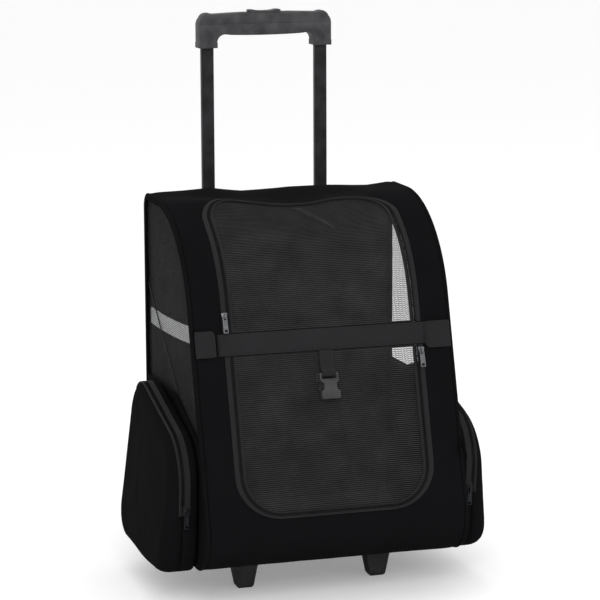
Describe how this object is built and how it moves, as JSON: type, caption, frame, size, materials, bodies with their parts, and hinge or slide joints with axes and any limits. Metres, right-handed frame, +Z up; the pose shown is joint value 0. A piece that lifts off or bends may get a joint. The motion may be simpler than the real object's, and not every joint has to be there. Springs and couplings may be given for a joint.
{
  "type": "wheeled pet carrier",
  "caption": "Soft pet carrier on two wheels with zipped mesh doors, side pockets and a telescopic trolley handle.",
  "frame": {"origin": "on the floor, centred under the carrier", "axes": "+Z up, -Y the front with the mesh doors, +X to the right seen from the front"},
  "size_m": [0.455, 0.3474, 0.7459],
  "materials": {
    "oxford": "woven polyester, matt",
    "mesh": "open polyester mesh",
    "tape": "woven tape",
    "webbing": "ribbed webbing",
    "pale_webbing": "ribbed webbing",
    "buckle": "moulded",
    "zinc": "cast, dull",
    "board": "sheet",
    "mat": "plush",
    "tube": "black anodised",
    "moulding": "moulded, fine grain",
    "grip": "moulded, fine grain",
    "button": "moulded",
    "hub": "moulded",
    "tyre": "matt rubber",
    "steel": "zinc plated"
  },
  "bodies": {
    "bag": {"front_panel": "oxford", "back_panel": "oxford", "base_panel": "oxford", "base_board": "board", "back_board": "board", "pet_mat": "mat", "side_panel_left": "oxford", "side_panel_right": "oxford", "side_mesh_left": "mesh", "side_mesh_right": "mesh", "side_bindings": "tape", "side_pocket_left": "oxford", "side_pocket_right": "oxford", "upper_zip_tape": "tape", "lower_zip_tape": "tape", "front_strap": "webbing", "inner_tab": "webbing", "buckle_plug": "buckle", "tether_strap": "pale_webbing", "back_sleeve": "oxford", "outer_tube_left": "tube", "outer_tube_right": "tube", "upper_bracket": "moulding", "lower_bracket": "moulding", "wheel_housing_left": "moulding", "wheel_housing_right": "moulding", "axles": "steel", "front_foot_left": "moulding", "front_foot_right": "moulding", "base_screws": "steel"},
    "handle": {"inner_tube_left": "tube", "inner_tube_right": "tube", "grip_upper_shell": "grip", "grip_lower_shell": "grip", "grip_screws": "steel", "button_spring": "steel"},
    "button": {"grip_button": "button", "release_linkage": "steel"},
    "lock_pin_left": {"lock_pin_left": "steel"},
    "lock_pin_right": {"lock_pin_right": "steel"},
    "wheel_left": {"wheel_hub_left": "hub", "tyre_left": "tyre"},
    "wheel_right": {"wheel_hub_right": "hub", "tyre_right": "tyre"},
    "upper_door": {"upper_door_rim": "tape", "upper_door_mesh": "mesh"},
    "lower_door": {"lower_door_rim": "tape", "lower_door_mesh": "mesh"},
    "buckle": {"buckle_tab": "webbing", "buckle_socket": "buckle"},
    "upper_zip_slider": {"upper_zip_slider": "zinc"},
    "upper_zip_pull": {"upper_zip_pull": "zinc"},
    "lower_zip_slider": {"lower_zip_slider": "zinc"},
    "lower_zip_pull": {"lower_zip_pull": "zinc"},
    "pocket_cover_left": {"pocket_cover_left": "oxford"},
    "pocket_cover_right": {"pocket_cover_right": "oxford"},
    "pocket_slider_left": {"pocket_slider_left": "zinc"},
    "pocket_slider_right": {"pocket_slider_right": "zinc"},
    "pocket_pull_left": {"pocket_pull_left": "zinc"},
    "pocket_pull_right": {"pocket_pull_right": "zinc"}
  },
  "joints": [
    {"name": "handle_slide", "type": "slide", "parent": "bag", "child": "handle", "axis": [0, 0, 1], "range_m": [-0.195, 0.145]},
    {"name": "button_press", "type": "slide", "parent": "handle", "child": "button", "axis": [0, 0, -1], "range_m": [0, 0.004], "stiffness_N_per_m": 600, "springref_m": -0.008, "deforming": ["button_spring"]},
    {"name": "lock_pin_left_slide", "type": "slide", "parent": "handle", "child": "lock_pin_left", "axis": [1, 0, 0], "range_m": [0, 0.002]},
    {"name": "lock_pin_right_slide", "type": "slide", "parent": "handle", "child": "lock_pin_right", "axis": [-1, 0, 0], "range_m": [0, 0.002]},
    {"name": "wheel_left_spin", "type": "hinge", "parent": "bag", "child": "wheel_left", "pos_m": [-0.13, 0.148, 0.024], "axis": [1, 0, 0], "continuous": true},
    {"name": "wheel_right_spin", "type": "hinge", "parent": "bag", "child": "wheel_right", "pos_m": [0.13, 0.148, 0.024], "axis": [1, 0, 0], "continuous": true},
    {"name": "upper_door_hinge", "type": "hinge", "parent": "bag", "child": "upper_door", "pos_m": [0, -0.1055, 0.35481], "axis": [1, 0, 0], "range_deg": [0, 95]},
    {"name": "lower_door_hinge", "type": "hinge", "parent": "bag", "child": "lower_door", "pos_m": [0, -0.11364, 0.32698], "axis": [-1, 0, 0], "range_deg": [0, 80]},
    {"name": "buckle_swing", "type": "hinge", "parent": "bag", "child": "buckle", "pos_m": [0, -0.11364, 0.32698], "axis": [-1, 0, 0], "range_deg": [0, 80]},
    {"name": "upper_zip_travel", "type": "hinge", "parent": "bag", "child": "upper_zip_slider", "pos_m": [-0.1305, 0.066, 0.342], "axis": [-1, 0, 0], "range_deg": [0, 45]},
    {"name": "upper_pull_swing", "type": "hinge", "parent": "upper_zip_slider", "child": "upper_zip_pull", "pos_m": [-0.1305, -0.10061, 0.37579], "axis": [-1, 0, 0], "range_deg": [0, 150]},
    {"name": "lower_zip_travel", "type": "slide", "parent": "bag", "child": "lower_zip_slider", "axis": [0, -0.2807, -0.9598], "range_m": [0, 0.12]},
    {"name": "lower_pull_swing", "type": "hinge", "parent": "lower_zip_slider", "child": "lower_zip_pull", "pos_m": [0.1305, -0.11746, 0.3182], "axis": [-1, 0, 0], "range_deg": [0, 150]},
    {"name": "pocket_cover_left_fold", "type": "hinge", "parent": "bag", "child": "pocket_cover_left", "pos_m": [-0.19695, 0.11422, 0.09406], "axis": [0, 0.1087, -0.9941], "range_deg": [0, 90]},
    {"name": "pocket_zip_left_travel", "type": "slide", "parent": "bag", "child": "pocket_slider_left", "axis": [0, -0.0994, 0.9951], "range_m": [0, 0.028]},
    {"name": "pocket_pull_left_swing", "type": "hinge", "parent": "pocket_slider_left", "child": "pocket_pull_left", "pos_m": [-0.1924, -0.13509, 0.13055], "axis": [-1, 0, 0], "range_deg": [0, 150]},
    {"name": "pocket_cover_right_fold", "type": "hinge", "parent": "bag", "child": "pocket_cover_right", "pos_m": [0.19695, 0.11422, 0.09406], "axis": [0, -0.1087, 0.9941], "range_deg": [0, 90]},
    {"name": "pocket_zip_right_travel", "type": "slide", "parent": "bag", "child": "pocket_slider_right", "axis": [0, -0.0994, 0.9951], "range_m": [0, 0.028]},
    {"name": "pocket_pull_right_swing", "type": "hinge", "parent": "pocket_slider_right", "child": "pocket_pull_right", "pos_m": [0.1924, -0.13509, 0.13055], "axis": [-1, 0, 0], "range_deg": [0, 150]}
  ],
  "couplings": [
    {"joint": "lock_pin_left_slide", "follows": "button_press", "ratio": 0.5},
    {"joint": "lock_pin_right_slide", "follows": "button_press", "ratio": 0.5},
    {"joint": "buckle_swing", "follows": "lower_door_hinge", "ratio": 1}
  ]
}
